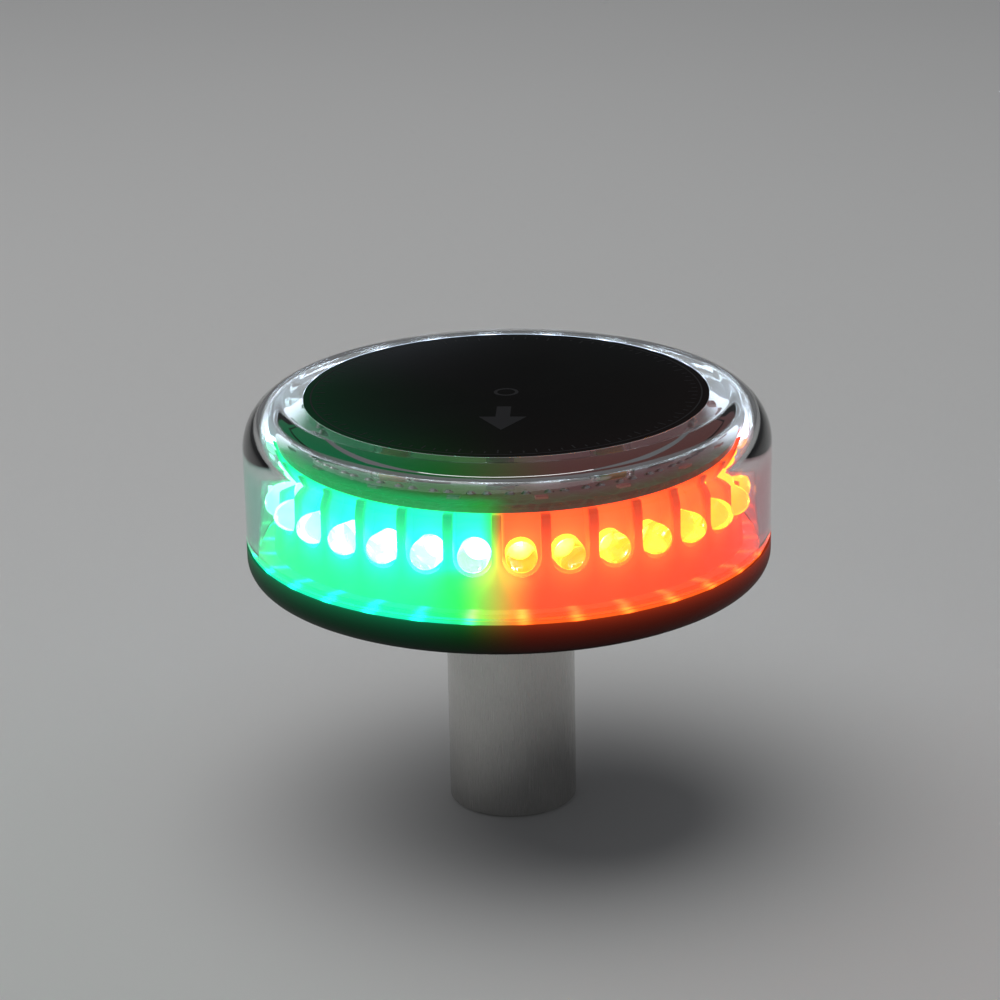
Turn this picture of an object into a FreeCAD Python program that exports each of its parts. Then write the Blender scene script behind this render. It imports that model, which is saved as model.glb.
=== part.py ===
import FreeCAD, Part
import math
import os

import Sketcher
from FreeCAD import Placement, Rotation, Vector

# Three-colour navigation light on a short stem: a clear cover over a drum of 32 LEDs,
# on a dark base whose collar turns on the stem.
# Frame: +Z up, the bow is -Y, port (red) is +X, starboard (green) is -X.
# The origin is the centre of the stem's lower end. Sizes are millimetres.
# Pieces of the head are drawn with z = 0 at the joint between the cover and the base,
# and stand at joint_height.

DIMENSIONS = [
    ("joint_height", 50.0, "joint of cover and base, above the stem's lower end"),
    ("cover_radius", 45.0, "clear cover, outside"),
    ("cover_height", 24.2, "clear cover, from the joint to its flat top"),
    ("cover_wall", 3.0, "clear cover, wall and top"),
    ("shoulder_round", 8.4, "outer edge of the cover's top"),
    ("inner_round", 4.0, "inner edge of the cover's top"),
    ("foot_round", 0.4, "outer lower edge of the cover"),
    ("label_radius", 34.4, "printed disc on the top"),
    ("label_thick", 0.3, "printed disc, and the depth of its recess"),
    ("label_gap", 0.1, "gap round the printed disc"),
    ("seal_thick", 0.6, "seal between cover and base"),
    ("drum_radius", 39.5, "LED carrier, outside"),
    ("drum_bore", 32.2, "LED carrier, inside of its ring"),
    ("drum_top", 15.6, "LED carrier, top of its ring"),
    ("foot_radius", 41.8, "LED carrier, foot under the clear cover"),
    ("foot_top", 0.6, "LED carrier, top of its foot"),
    ("skirt_radius", 40.1, "LED carrier, spigot in the base"),
    ("skirt_wall", 2.4, "LED carrier, spigot wall"),
    ("skirt_depth", 1.6, "LED carrier, spigot depth"),
    ("web_top", 2.6, "LED carrier, top of its floor"),
    ("web_bore", 12.5, "LED carrier, wiring hole in its floor"),
    ("slot_width", 6.2, "LED slot at the drum's face"),
    ("tab_radius", 36.4, "radius of the slots' back walls, which the LEDs stand out of"),
    ("seat_width", 5.9, "slot behind that wall, round the LED's flange"),
    ("seat_front", 33.75, "radius where the flange seat ends"),
    ("led_count", 32.0, "LEDs round the drum"),
    ("green_count", 10.0, "LEDs in the starboard sector"),
    ("red_count", 10.0, "LEDs in the port sector"),
    ("white_count", 12.0, "LEDs in the stern sector"),
    ("led_height", 9.2, "LED axis above the joint"),
    ("led_tip", 41.3, "radius of the lens tips"),
    ("led_length", 8.6, "flange to lens tip"),
    ("lens_radius", 2.5, "5 mm LED"),
    ("flange_radius", 2.9, "LED flange"),
    ("flange_thick", 1.0, "LED flange"),
    ("lead_size", 0.5, "square lead wire"),
    ("lead_pitch", 2.54, "between the two leads"),
    ("lead_circle", 31.7, "radius of the upright leads"),
    ("lead_hole", 0.45, "board hole for a lead, radius"),
    ("board_radius", 38.4, "circuit board"),
    ("board_thick", 1.6, "circuit board"),
    ("pad_radius", 0.85, "solder joint, radius at the board"),
    ("pad_height", 0.7, "solder joint, height"),
    ("pad_tip", 0.4, "solder joint, radius at its top"),
    ("fixing_circle", 25.0, "radius of the screw circle"),
    ("post_radius", 3.5, "screw posts under the cover's top"),
    ("sleeve_radius", 4.0, "carrier tubes round the long screws"),
    ("pillar_radius", 3.2, "carrier pillars under the board"),
    ("pilot_radius", 1.05, "hole for a board screw's thread"),
    ("clear_radius", 1.7, "clearance hole for a long screw"),
    ("base_depth", 6.6, "base, outer part of its underside below the joint"),
    ("base_round", 3.5, "base, lower outer edge"),
    ("base_bore", 40.2, "base, inside of its rim"),
    ("floor_thick", 2.6, "base, floor"),
    ("floor_slope_radius", 38.0, "base, where the underside starts to slope"),
    ("collar_root_depth", 9.0, "base, depth of the slope at the collar"),
    ("collar_round", 1.5, "fillet of the slope into the collar"),
    ("collar_radius", 15.5, "collar round the stem"),
    ("collar_depth", 16.3, "lower end of the collar below the joint"),
    ("collar_edge", 0.6, "chamfer at the collar's lower end"),
    ("socket_gap", 0.08, "running gap between socket and stem"),
    ("socket_roof", 2.5, "roof of the socket"),
    ("hub_radius", 14.4, "socket wall inside the base"),
    ("cable_hole", 4.6, "cable hole in the socket roof, radius"),
    ("boss_radius", 4.6, "base bosses round the long screws"),
    ("screw_seat", 4.6, "depth of the long screws' seats below the joint"),
    ("screw_well", 3.2, "radius of the wells round the screw heads"),
    ("ring_cord", 1.8, "O-ring section"),
    ("ring_depth", 5.6, "O-ring centre below the joint"),
    ("ring_groove", 2.3, "O-ring groove width"),
    ("grub_depth", 12.7, "set-screw axis below the joint"),
    ("grub_radius", 1.95, "M4 set screw"),
    ("grub_insert_radius", 2.6, "brass sleeve of a set screw"),
    ("grub_insert_inner", 11.4, "inner end of the brass sleeve"),
    ("grub_insert_outer", 15.1, "outer end of the brass sleeve"),
    ("grub_point", 0.7, "chamfer of a set screw's point"),
    ("grub_back", 14.9, "radius of a set screw's outer end"),
    ("stem_radius", 11.1, "stem tube, outside"),
    ("stem_wall", 2.0, "stem tube, wall below its shoulder"),
    ("spigot_radius", 10.5, "stem tube, outside of the spigot in the socket"),
    ("stem_edge", 0.4, "stem tube, edge chamfers"),
    ("stem_top_gap", 1.3, "between the stem's top and the socket roof"),
    ("post_insert_radius", 2.2, "brass insert in a cover post"),
    ("post_insert_length", 3.4, "brass insert in a cover post"),
    ("screw_radius", 1.45, "M3 long screw, over its thread"),
    ("screw_length", 24.8, "M3 long screw, under its head"),
    ("head_radius", 2.8, "M3 head"),
    ("head_height", 2.2, "M3 head"),
    ("hex_radius", 1.3, "hexagon recess of the screws, corner radius"),
    ("hex_depth", 1.2, "hexagon recess of the screws"),
    ("washer_thick", 0.6, "sealing washer"),
    ("washer_radius", 3.0, "sealing washer"),
    ("board_screw_radius", 1.0, "board screw, over its thread"),
    ("board_screw_length", 8.0, "board screw, under its head"),
    ("board_head_radius", 2.3, "board screw head"),
    ("board_head_height", 1.6, "board screw head"),
    ("chip_along", 3.9, "driver chips"),
    ("chip_across", 4.9, "driver chips"),
    ("chip_high", 1.5, "driver chips"),
    ("coil_along", 6.0, "power inductors"),
    ("coil_across", 6.0, "power inductors"),
    ("coil_high", 2.8, "power inductors"),
    ("coil_corner", 0.9, "power inductors, corner rounding"),
    ("resistor_along", 1.25, "LED resistors"),
    ("resistor_across", 2.0, "LED resistors"),
    ("resistor_high", 0.55, "LED resistors"),
    ("resistor_circle", 35.6, "radius of the LED resistors' places"),
    ("diode_along", 4.4, "reverse-polarity diode"),
    ("diode_across", 3.6, "reverse-polarity diode"),
    ("diode_high", 2.2, "reverse-polarity diode"),
    ("part_circle", 14.5, "radius of the chips' and inductors' places"),
    ("can_radius", 4.0, "filter capacitors"),
    ("can_height", 11.0, "filter capacitors"),
    ("can_circle", 16.0, "radius of the capacitors' places"),
    ("can_edge", 0.4, "filter capacitors, edge chamfer and crimp depth"),
    ("crimp_height", 1.9, "crimp above the capacitor's rubber seal"),
    ("block_width", 11.0, "terminal block"),
    ("block_depth", 8.2, "terminal block"),
    ("block_height", 10.0, "terminal block"),
    ("pole_pitch", 5.08, "between the terminals"),
    ("terminal_radius", 1.7, "terminal screw"),
    ("terminal_depth", 4.2, "depth of the terminal wells"),
    ("terminal_sink", 1.0, "terminal screw below its well's mouth"),
    ("entry_width", 2.8, "wire entry"),
    ("entry_low", 5.0, "wire entry, bottom above the block's lower face"),
    ("entry_high", 8.5, "wire entry, top above the block's lower face"),
    ("driver_slot", 0.6, "screwdriver slot, width"),
    ("grommet_bore", 3.0, "cable hole through the grommet, radius"),
    ("grommet_lip", 1.6, "grommet flange past the hole's edge"),
    ("grommet_face", 1.0, "grommet flange thickness"),
    ("contact_gap", 0.02, "between the stem and what presses on it"),
    ("small_gap", 0.05, "assembly gap between pieces that only sit together"),
]

BOARD_FACE = "(dims.drum_top + dims.board_thick)"
LED_BACK = "(dims.led_tip - dims.led_length)"
BASE_FACE = "-dims.seal_thick"
GRIP_RADIUS = "(dims.spigot_radius + dims.contact_gap)"

BOW_ANGLE = -90.0
SCREW_ANGLE = 45.0
CHIP_ANGLE = 30.0
COIL_ANGLE = 90.0
CAPACITOR_ANGLE = 60.0

doc = FreeCAD.newDocument("navigation_light")


def write_sheet():
    sheet = doc.addObject("Spreadsheet::Sheet", "dims")
    for row, (alias, value, note) in enumerate(DIMENSIONS, start=1):
        sheet.set("A%d" % row, alias)
        sheet.set("B%d" % row, str(value))
        sheet.set("C%d" % row, note)
        sheet.setAlias("B%d" % row, alias)
    doc.recompute()
    return sheet


dims = write_sheet()


def measure(expression):
    """The value of an expression of the sheet's cells."""
    return float(dims.evalExpression(expression))


LED_STEP = 360 / measure("dims.led_count")
HALF_STEP = LED_STEP / 2


# ---------------------------------------------------------------- drawing helpers

def new_body(label, turn=0.0, height="dims.joint_height"):
    """A body at the joint's height, turned about Z by an angle in degrees."""
    body = doc.addObject("PartDesign::Body", label)
    body.AllowCompound = True
    body.Placement = Placement(Vector(0, 0, 0), Rotation(Vector(0, 0, 1), turn))
    body.setExpression("Placement.Base.z", height)
    return body


def origin_feature(body, role):
    for feature in body.Origin.OriginFeatures:
        if feature.Role == role:
            return feature
    raise ValueError(role)


def new_sketch(body, name, role, offset="0"):
    """A sketch on one of the body's own planes, moved along that plane's normal."""
    sketch = body.newObject("Sketcher::SketchObject", name)
    sketch.AttachmentSupport = [(origin_feature(body, role), "")]
    sketch.MapMode = "FlatFace"
    sketch.setExpression("AttachmentOffset.Base.z", offset)
    return sketch


def pin_point(sketch, element, end, x, y):
    """Hold one point of a sketch element at two expressions of the sheet."""
    for kind, axis, expression in (("DistanceX", -2, x), ("DistanceY", -1, y)):
        value = measure(expression)
        if abs(value) < 1e-9:
            sketch.addConstraint(Sketcher.Constraint("PointOnObject", element, end, axis))
            continue
        index = sketch.addConstraint(Sketcher.Constraint(kind, -1, 1, element, end, value))
        sketch.setExpression("Constraints[%d]" % index, expression)


def draw_outline(sketch, path):
    """A closed outline. Each entry is the x and y of a corner, as expressions. A third
    and fourth entry are the centre of an anticlockwise arc that runs to the next corner."""
    corners = [Vector(measure(step[0]), measure(step[1]), 0) for step in path]
    first = sketch.GeometryCount
    for index, step in enumerate(path):
        start = corners[index]
        end = corners[(index + 1) % len(path)]
        if len(step) == 2:
            sketch.addGeometry(Part.LineSegment(start, end))
            continue
        centre = Vector(measure(step[2]), measure(step[3]), 0)
        circle = Part.Circle(centre, Vector(0, 0, 1), (start - centre).Length)
        from_angle = math.atan2(start.y - centre.y, start.x - centre.x)
        to_angle = math.atan2(end.y - centre.y, end.x - centre.x)
        sketch.addGeometry(Part.ArcOfCircle(circle, from_angle, to_angle))
    for index, step in enumerate(path):
        element = first + index
        following = first + (index + 1) % len(path)
        sketch.addConstraint(Sketcher.Constraint("Coincident", element, 2, following, 1))
        pin_point(sketch, element, 1, step[0], step[1])
        if len(step) == 4:
            level = abs(corners[index].y - corners[(index + 1) % len(path)].y) < 1e-9
            kind = "DistanceY" if level else "DistanceX"
            expression = step[3] if level else step[2]
            value = measure(expression)
            pinned = Sketcher.Constraint(kind, -1, 1, element, 3, value)
            number = sketch.addConstraint(pinned)
            sketch.setExpression("Constraints[%d]" % number, expression)


def draw_box(sketch, x_low, x_high, y_low, y_high):
    draw_outline(sketch, [(x_low, y_low), (x_high, y_low), (x_high, y_high), (x_low, y_high)])


def draw_circle(sketch, x, y, radius):
    centre = Vector(measure(x), measure(y), 0)
    index = sketch.addGeometry(Part.Circle(centre, Vector(0, 0, 1), measure(radius)))
    pin_point(sketch, index, 3, x, y)
    number = sketch.addConstraint(Sketcher.Constraint("Radius", index, measure(radius)))
    sketch.setExpression("Constraints[%d]" % number, radius)


def draw_hexagon(sketch, x, y, radius):
    corners = []
    for step in range(6):
        angle = 30 + 60 * step
        across = "%s + %s * cos(%d deg)" % (x, radius, angle)
        up = "%s + %s * sin(%d deg)" % (y, radius, angle)
        corners.append((across, up))
    draw_outline(sketch, corners)


def draw_slot(sketch, width, bottom, top):
    """An upright slot with a round end whose centre is at the height bottom."""
    half = "%s / 2" % width
    draw_outline(sketch, [
        ("-%s" % half, bottom, "0", bottom),
        (half, bottom),
        (half, top),
        ("-%s" % half, top),
    ])


def pad(body, name, sketch, length, down=False):
    feature = body.newObject("PartDesign::Pad", name)
    feature.Profile = sketch
    feature.Reversed = down
    feature.setExpression("Length", length)
    doc.recompute()
    return feature


def pocket(body, name, sketch, length, outward=False):
    """A cut against the sketch's normal, or along it where outward is set."""
    before = body.Shape.Volume
    feature = body.newObject("PartDesign::Pocket", name)
    feature.Profile = sketch
    feature.Reversed = outward
    feature.setExpression("Length", length)
    doc.recompute()
    if body.Shape.Volume > before - 1e-6:
        raise RuntimeError("%s cuts nothing" % name)
    return feature


def revolve(body, name, path, axis=None, offset="0"):
    """A solid of revolution from an outline in the XZ plane, about the body's Z axis or
    about a straight line that is given by its two ends."""
    sketch = new_sketch(body, name + "_outline", "XZ_Plane", offset)
    draw_outline(sketch, path)
    reference = "V_Axis"
    if axis:
        ends = [Vector(measure(x), measure(y), 0) for x, y in axis]
        index = sketch.addGeometry(Part.LineSegment(ends[0], ends[1]), True)
        pin_point(sketch, index, 1, *axis[0])
        pin_point(sketch, index, 2, *axis[1])
        reference = "Axis0"
    feature = body.newObject("PartDesign::Revolution", name)
    feature.Profile = sketch
    feature.ReferenceAxis = (sketch, [reference])
    feature.Angle = 360
    doc.recompute()
    return feature


def repeat(body, name, features, count, sweep="360"):
    """Features repeated about Z. A sweep of 360 closes the circle."""
    pattern = body.newObject("PartDesign::PolarPattern", name)
    pattern.Originals = features
    pattern.Axis = (origin_feature(body, "Z_Axis"), [""])
    pattern.setExpression("Angle", sweep)
    pattern.setExpression("Occurrences", count)
    body.Tip = pattern
    doc.recompute()
    return pattern


def rims(body, radius, height):
    """Names of the body's circular edges about Z of this radius at this height."""
    found = []
    for index, edge in enumerate(body.Tip.Shape.Edges, start=1):
        curve = edge.Curve
        if not isinstance(curve, Part.Circle):
            continue
        centred = abs(curve.Center.x) < 1e-6 and abs(curve.Center.y) < 1e-6
        same_size = abs(curve.Radius - measure(radius)) < 1e-4
        same_height = abs(curve.Center.z - measure(height)) < 1e-4
        if centred and same_size and same_height:
            found.append("Edge%d" % index)
    if not found:
        raise RuntimeError("no rim of %s at %s" % (radius, height))
    return found


def soften(body, name, kind, size, edges):
    """A Fillet or Chamfer on named edges of the body's last feature."""
    base = body.Tip
    feature = body.newObject("PartDesign::" + kind, name)
    feature.Base = (base, edges)
    feature.setExpression("Radius" if kind == "Fillet" else "Size", size)
    doc.recompute()
    return feature


def on_fixing_circle(angle):
    """X and Y of a screw at this angle, as expressions."""
    across = "dims.fixing_circle * cos(%g deg)" % angle
    along = "dims.fixing_circle * sin(%g deg)" % angle
    return across, along


def cut_circles(body, name, start, length, circles, count, role="XY_Plane", outward=True):
    """Round holes from circles of x, y and radius, repeated about Z."""
    sketch = new_sketch(body, name + "_circles", role, start)
    for x, y, radius in circles:
        draw_circle(sketch, x, y, radius)
    hole = pocket(body, name, sketch, length, outward)
    return repeat(body, name + "s", [hole], count)


# ---------------------------------------------------------------- cover and label

def lens_cover():
    body = new_body("lens_cover", SCREW_ANGLE)
    inner = "dims.cover_radius - dims.cover_wall"
    ceiling = "(dims.cover_height - dims.cover_wall)"
    block = new_sketch(body, "cover_circle", "XY_Plane")
    draw_circle(block, "0", "0", "dims.cover_radius")
    pad(body, "cover_block", block, "dims.cover_height")
    shoulder = rims(body, "dims.cover_radius", "dims.cover_height")
    soften(body, "cover_shoulder", "Fillet", "dims.shoulder_round", shoulder)
    soften(body, "cover_foot", "Fillet", "dims.foot_round", rims(body, "dims.cover_radius", "0"))
    cavity = new_sketch(body, "cavity_circle", "XY_Plane")
    draw_circle(cavity, "0", "0", inner)
    pocket(body, "cavity", cavity, ceiling, outward=True)
    soften(body, "cavity_corner", "Fillet", "dims.inner_round", rims(body, inner, ceiling))
    recess = new_sketch(body, "label_recess_circle", "XY_Plane", "dims.cover_height")
    draw_circle(recess, "0", "0", "dims.label_radius + dims.label_gap")
    pocket(body, "label_recess", recess, "dims.label_thick")
    under = new_sketch(body, "post_circle", "XY_Plane", ceiling)
    draw_circle(under, "dims.fixing_circle", "0", "dims.post_radius")
    drop = "%s - %s - dims.small_gap" % (ceiling, BOARD_FACE)
    post = pad(body, "post", under, drop, down=True)
    repeat(body, "posts", [post], "4")
    socket = [("dims.fixing_circle", "0", "dims.post_insert_radius + dims.small_gap")]
    cut_circles(body, "insert_hole", BOARD_FACE, "dims.post_insert_length + 0.3", socket, "4")
    return body


def top_label():
    disc = doc.addObject("Part::Cylinder", "top_label")
    disc.setExpression("Radius", "dims.label_radius")
    disc.setExpression("Height", "dims.label_thick")
    seat = "dims.joint_height + dims.cover_height - dims.label_thick"
    disc.setExpression("Placement.Base.z", seat)
    return disc


def cover_seal():
    body = new_body("cover_seal")
    inner = "dims.cover_radius - dims.cover_wall"
    outer = "dims.cover_radius - dims.foot_round"
    revolve(body, "ring", [(inner, BASE_FACE), (outer, BASE_FACE), (outer, "0"), (inner, "0")])
    return body


# ---------------------------------------------------------------- LED drum

def led_carrier():
    """A white ring with a slot and a hole for each LED, on a floor with screw tubes and
    pillars."""
    body = new_body("led_carrier", HALF_STEP)
    skirt_bore = "dims.skirt_radius - dims.skirt_wall"
    skirt_end = BASE_FACE + " - dims.skirt_depth"
    revolve(body, "drum", [
        ("dims.web_bore", "dims.foot_top"),
        (skirt_bore, "dims.foot_top"),
        (skirt_bore, skirt_end),
        ("dims.skirt_radius", skirt_end),
        ("dims.skirt_radius", BASE_FACE),
        ("dims.foot_radius", BASE_FACE),
        ("dims.foot_radius", "dims.foot_top"),
        ("dims.drum_radius", "dims.foot_top"),
        ("dims.drum_radius", "dims.drum_top"),
        ("dims.drum_bore", "dims.drum_top"),
        ("dims.drum_bore", "dims.web_top"),
        ("dims.web_bore", "dims.web_top"),
    ])
    beyond = "dims.drum_top + 1"
    face_slot = new_sketch(body, "face_slot_outline", "YZ_Plane", "dims.drum_radius + 1")
    draw_slot(face_slot, "dims.slot_width", "dims.led_height", beyond)
    lens_hole = new_sketch(body, "lens_circle", "YZ_Plane", "dims.tab_radius + 1")
    draw_circle(lens_hole, "0", "dims.led_height", "dims.lens_radius + dims.small_gap")
    seat = new_sketch(body, "seat_outline", "YZ_Plane", "dims.seat_front")
    draw_slot(seat, "dims.seat_width", "dims.led_height", beyond)
    slots = [
        pocket(body, "face_slot", face_slot, "dims.drum_radius + 1 - dims.tab_radius"),
        pocket(body, "lens_hole", lens_hole, "dims.tab_radius + 2 - dims.seat_front"),
        pocket(body, "seat", seat, "dims.seat_front - dims.drum_bore + 1"),
    ]
    repeat(body, "slots", slots, "dims.led_count")
    columns = (
        ("tube", "dims.sleeve_radius", "dims.clear_radius", SCREW_ANGLE),
        ("pillar", "dims.pillar_radius", "dims.pilot_radius", 0),
    )
    for name, radius, hole, angle in columns:
        x, y = on_fixing_circle(angle - HALF_STEP)
        circle = new_sketch(body, name + "_circle", "XY_Plane", "dims.foot_top")
        draw_circle(circle, x, y, radius)
        column = pad(body, name, circle, "dims.drum_top - dims.foot_top")
        repeat(body, name + "s", [column], "4")
        cut_circles(body, name + "_hole", "0", "dims.drum_top + 1", [(x, y, hole)], "4")
    return body


def led_group(label, count, first_angle):
    """Separate 5 mm LEDs that face outwards, a step apart."""
    body = new_body(label, first_angle)
    axis = "dims.led_height"
    dome = "dims.led_tip - dims.lens_radius"
    step = LED_BACK + " + dims.flange_thick"
    led = revolve(body, "led", [
        (LED_BACK, axis),
        ("dims.led_tip", axis, dome, axis),
        (dome, axis + " + dims.lens_radius"),
        (step, axis + " + dims.lens_radius"),
        (step, axis + " + dims.flange_radius"),
        (LED_BACK, axis + " + dims.flange_radius"),
    ], axis=[(LED_BACK, axis), ("dims.led_tip", axis)])
    sweep = "(%s - 1) * 360 / dims.led_count" % count
    repeat(body, "leds", [led], count, sweep)
    return body


def led_leads():
    """Two wires from each LED, bent up through the board."""
    body = new_body("led_leads", HALF_STEP)
    low = "dims.led_height - dims.lead_size / 2"
    inner = "dims.lead_circle - dims.lead_size / 2"
    profile = new_sketch(body, "lead_outline", "XZ_Plane")
    draw_outline(profile, [
        (inner, low),
        (LED_BACK, low),
        (LED_BACK, low + " + dims.lead_size"),
        (inner + " + dims.lead_size", low + " + dims.lead_size"),
        (inner + " + dims.lead_size", BOARD_FACE),
        (inner, BOARD_FACE),
    ])
    both = pad(body, "both_leads", profile, "dims.lead_pitch + dims.lead_size")
    both.SideType = "Symmetric"
    between = new_sketch(body, "between_leads", "XZ_Plane")
    draw_box(between, "dims.lead_circle - 1", LED_BACK + " + 1", low + " - 1", BOARD_FACE + " + 1")
    gap = pocket(body, "gap", between, "dims.lead_pitch - dims.lead_size")
    gap.SideType = "Symmetric"
    repeat(body, "leads", [both, gap], "dims.led_count")
    return body


# ---------------------------------------------------------------- electronics

def circuit_board():
    body = new_body("circuit_board", HALF_STEP)
    disc = new_sketch(body, "board_circle", "XY_Plane", "dims.drum_top")
    draw_circle(disc, "0", "0", "dims.board_radius")
    pad(body, "board", disc, "dims.board_thick")
    start = "dims.drum_top - 1"
    through = "dims.board_thick + 2"
    pair = [
        ("dims.lead_circle", "dims.lead_pitch / 2", "dims.lead_hole"),
        ("dims.lead_circle", "-dims.lead_pitch / 2", "dims.lead_hole"),
    ]
    cut_circles(body, "lead_hole_pair", start, through, pair, "dims.led_count")
    for name, radius, angle in (
        ("long_screw_hole", "dims.clear_radius", SCREW_ANGLE),
        ("board_screw_hole", "dims.board_screw_radius + 0.2", 0),
    ):
        x, y = on_fixing_circle(angle - HALF_STEP)
        cut_circles(body, name, start, through, [(x, y, radius)], "4")
    return body


def solder_joints():
    body = new_body("solder_joints", HALF_STEP)
    axis = [("dims.lead_circle", BOARD_FACE), ("dims.lead_circle", "dims.cover_height")]
    cones = []
    for name, side in (("left", "-dims.lead_pitch / 2"), ("right", "dims.lead_pitch / 2")):
        cones.append(revolve(body, name + "_joint", [
            ("dims.lead_circle", BOARD_FACE),
            ("dims.lead_circle + dims.pad_radius", BOARD_FACE),
            ("dims.lead_circle + dims.pad_tip", BOARD_FACE + " + dims.pad_height"),
            ("dims.lead_circle", BOARD_FACE + " + dims.pad_height"),
        ], axis=axis, offset=side))
    repeat(body, "joints", cones, "dims.led_count")
    return body


def block_group(label, turn, kind, distance, count, round_edge=None):
    """Box-shaped parts on the board, about Z. Their sizes are the sheet's cells
    kind_along, kind_across and kind_high."""
    body = new_body(label, turn)
    plan = new_sketch(body, "plan", "XY_Plane", BOARD_FACE)
    half_along = "dims.%s_along / 2" % kind
    half_across = "dims.%s_across / 2" % kind
    near = "%s - %s" % (distance, half_along)
    far = "%s + %s" % (distance, half_along)
    draw_box(plan, near, far, "-" + half_across, half_across)
    block = pad(body, "block", plan, "dims.%s_high" % kind)
    repeat(body, "blocks", [block], str(count))
    if round_edge:
        upright = []
        for index, edge in enumerate(body.Tip.Shape.Edges, start=1):
            if abs(edge.tangentAt(edge.FirstParameter).z) > 0.99:
                upright.append("Edge%d" % index)
        soften(body, "corners", "Fillet", round_edge, upright)
    return body


def turned_group(label, turn, distance, profile, count="4", height="dims.joint_height"):
    """Upright turned pieces at a distance from Z. The profile's first entries are radii."""
    body = new_body(label, turn, height)
    path = [("%s + %s" % (distance, radius), level) for radius, level in profile]
    axis = [(distance, profile[0][1]), (distance, profile[-1][1])]
    piece = revolve(body, "piece", path, axis)
    repeat(body, "pieces", [piece], count)
    return body


def screw_profile(head_face, head_radius, head_height, radius, length, up):
    """Half outline of a screw from its head's outer face. It points up where up is 1."""
    def level(distance):
        return "%s + %d * (%s)" % (head_face, up, distance)
    return [
        ("0", level("0")),
        (head_radius, level("0")),
        (head_radius, level(head_height)),
        (radius, level(head_height)),
        (radius, level("%s + %s" % (head_height, length))),
        ("0", level("%s + %s" % (head_height, length))),
    ]


def cut_hexagons(body, start, outward):
    recess = new_sketch(body, "hexagon", "XY_Plane", start)
    draw_hexagon(recess, "dims.fixing_circle", "0", "dims.hex_radius")
    cut = pocket(body, "recess", recess, "dims.hex_depth", outward)
    repeat(body, "recesses", [cut], "4")


def filter_capacitors():
    radius = "dims.can_radius"
    low = "dims.drum_top - dims.can_height"
    crimp = "dims.drum_top - dims.crimp_height"
    return turned_group("filter_capacitors", CAPACITOR_ANGLE, "dims.can_circle", [
        ("0", low),
        (radius + " - dims.can_edge", low),
        (radius, low + " + dims.can_edge"),
        (radius, crimp + " - dims.can_edge"),
        (radius + " - dims.can_edge", crimp),
        (radius, crimp + " + dims.can_edge"),
        (radius, "dims.drum_top"),
        ("0", "dims.drum_top"),
    ], "2")


def terminal_block():
    """Two-way block under the board, wire entries to the bow and screw wells below."""
    body = new_body("terminal_block")
    low = "dims.drum_top - dims.block_height"
    half = "dims.block_width / 2"
    plan = new_sketch(body, "plan", "XY_Plane", low)
    draw_box(plan, "-" + half, half, "-dims.block_depth / 2", "dims.block_depth / 2")
    pad(body, "block", plan, "dims.block_height")
    wells = new_sketch(body, "well_circles", "XY_Plane", low)
    entries = new_sketch(body, "entries", "XZ_Plane", "dims.block_depth / 2")
    entry_low = low + " + dims.entry_low"
    entry_high = low + " + dims.entry_high"
    for side in ("-dims.pole_pitch / 2", "dims.pole_pitch / 2"):
        draw_circle(wells, side, "0", "dims.terminal_radius + dims.small_gap")
        left = side + " - dims.entry_width / 2"
        right = side + " + dims.entry_width / 2"
        draw_box(entries, left, right, entry_low, entry_high)
    pocket(body, "wells", wells, "dims.terminal_depth", outward=True)
    pocket(body, "wire_entries", entries, "dims.entry_low")
    return body


def terminal_screws():
    body = new_body("terminal_screws")
    bottom = "dims.drum_top - dims.block_height + dims.terminal_sink"
    heads = new_sketch(body, "head_circles", "XY_Plane", bottom)
    slots = new_sketch(body, "slots", "XY_Plane", bottom)
    for side in ("-dims.pole_pitch / 2", "dims.pole_pitch / 2"):
        draw_circle(heads, side, "0", "dims.terminal_radius")
        left = side + " - dims.driver_slot / 2"
        right = side + " + dims.driver_slot / 2"
        draw_box(slots, left, right, "-dims.pole_pitch / 2", "dims.pole_pitch / 2")
    pad(body, "heads", heads, "dims.terminal_depth - dims.terminal_sink")
    pocket(body, "slot_cuts", slots, "dims.terminal_sink", outward=True)
    return body


# ---------------------------------------------------------------- screws and inserts

def board_screws():
    body = turned_group("board_screws", 0, "dims.fixing_circle", screw_profile(
        BOARD_FACE + " + dims.board_head_height", "dims.board_head_radius",
        "dims.board_head_height", "dims.board_screw_radius",
        "dims.board_screw_length", -1))
    top = BOARD_FACE + " + dims.board_head_height"
    cut_hexagons(body, top, False)
    return body


def long_screws():
    face = "-dims.screw_seat - dims.washer_thick - dims.head_height"
    body = turned_group("cover_screws", SCREW_ANGLE, "dims.fixing_circle", screw_profile(
        face, "dims.head_radius", "dims.head_height", "dims.screw_radius",
        "dims.screw_length", 1))
    cut_hexagons(body, face, True)
    return body


def ring_group(label, inner, outer, low, top):
    """Four flat rings or sleeves on the circle of the long screws."""
    body = new_body(label, SCREW_ANGLE)
    plan = new_sketch(body, "plan", "XY_Plane", low)
    draw_circle(plan, "dims.fixing_circle", "0", outer)
    draw_circle(plan, "dims.fixing_circle", "0", inner)
    ring = pad(body, "ring", plan, "%s - (%s)" % (top, low))
    repeat(body, "rings", [ring], "4")
    return body


def screw_seals():
    low = "-dims.screw_seat - dims.washer_thick"
    inner = "dims.screw_radius + dims.small_gap"
    return ring_group("screw_seals", inner, "dims.washer_radius", low, "-dims.screw_seat")


def cover_inserts():
    low = BOARD_FACE + " + dims.small_gap"
    top = low + " + dims.post_insert_length"
    inner = "dims.screw_radius + dims.small_gap"
    return ring_group("cover_inserts", inner, "dims.post_insert_radius", low, top)


# ---------------------------------------------------------------- base and stem

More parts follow.
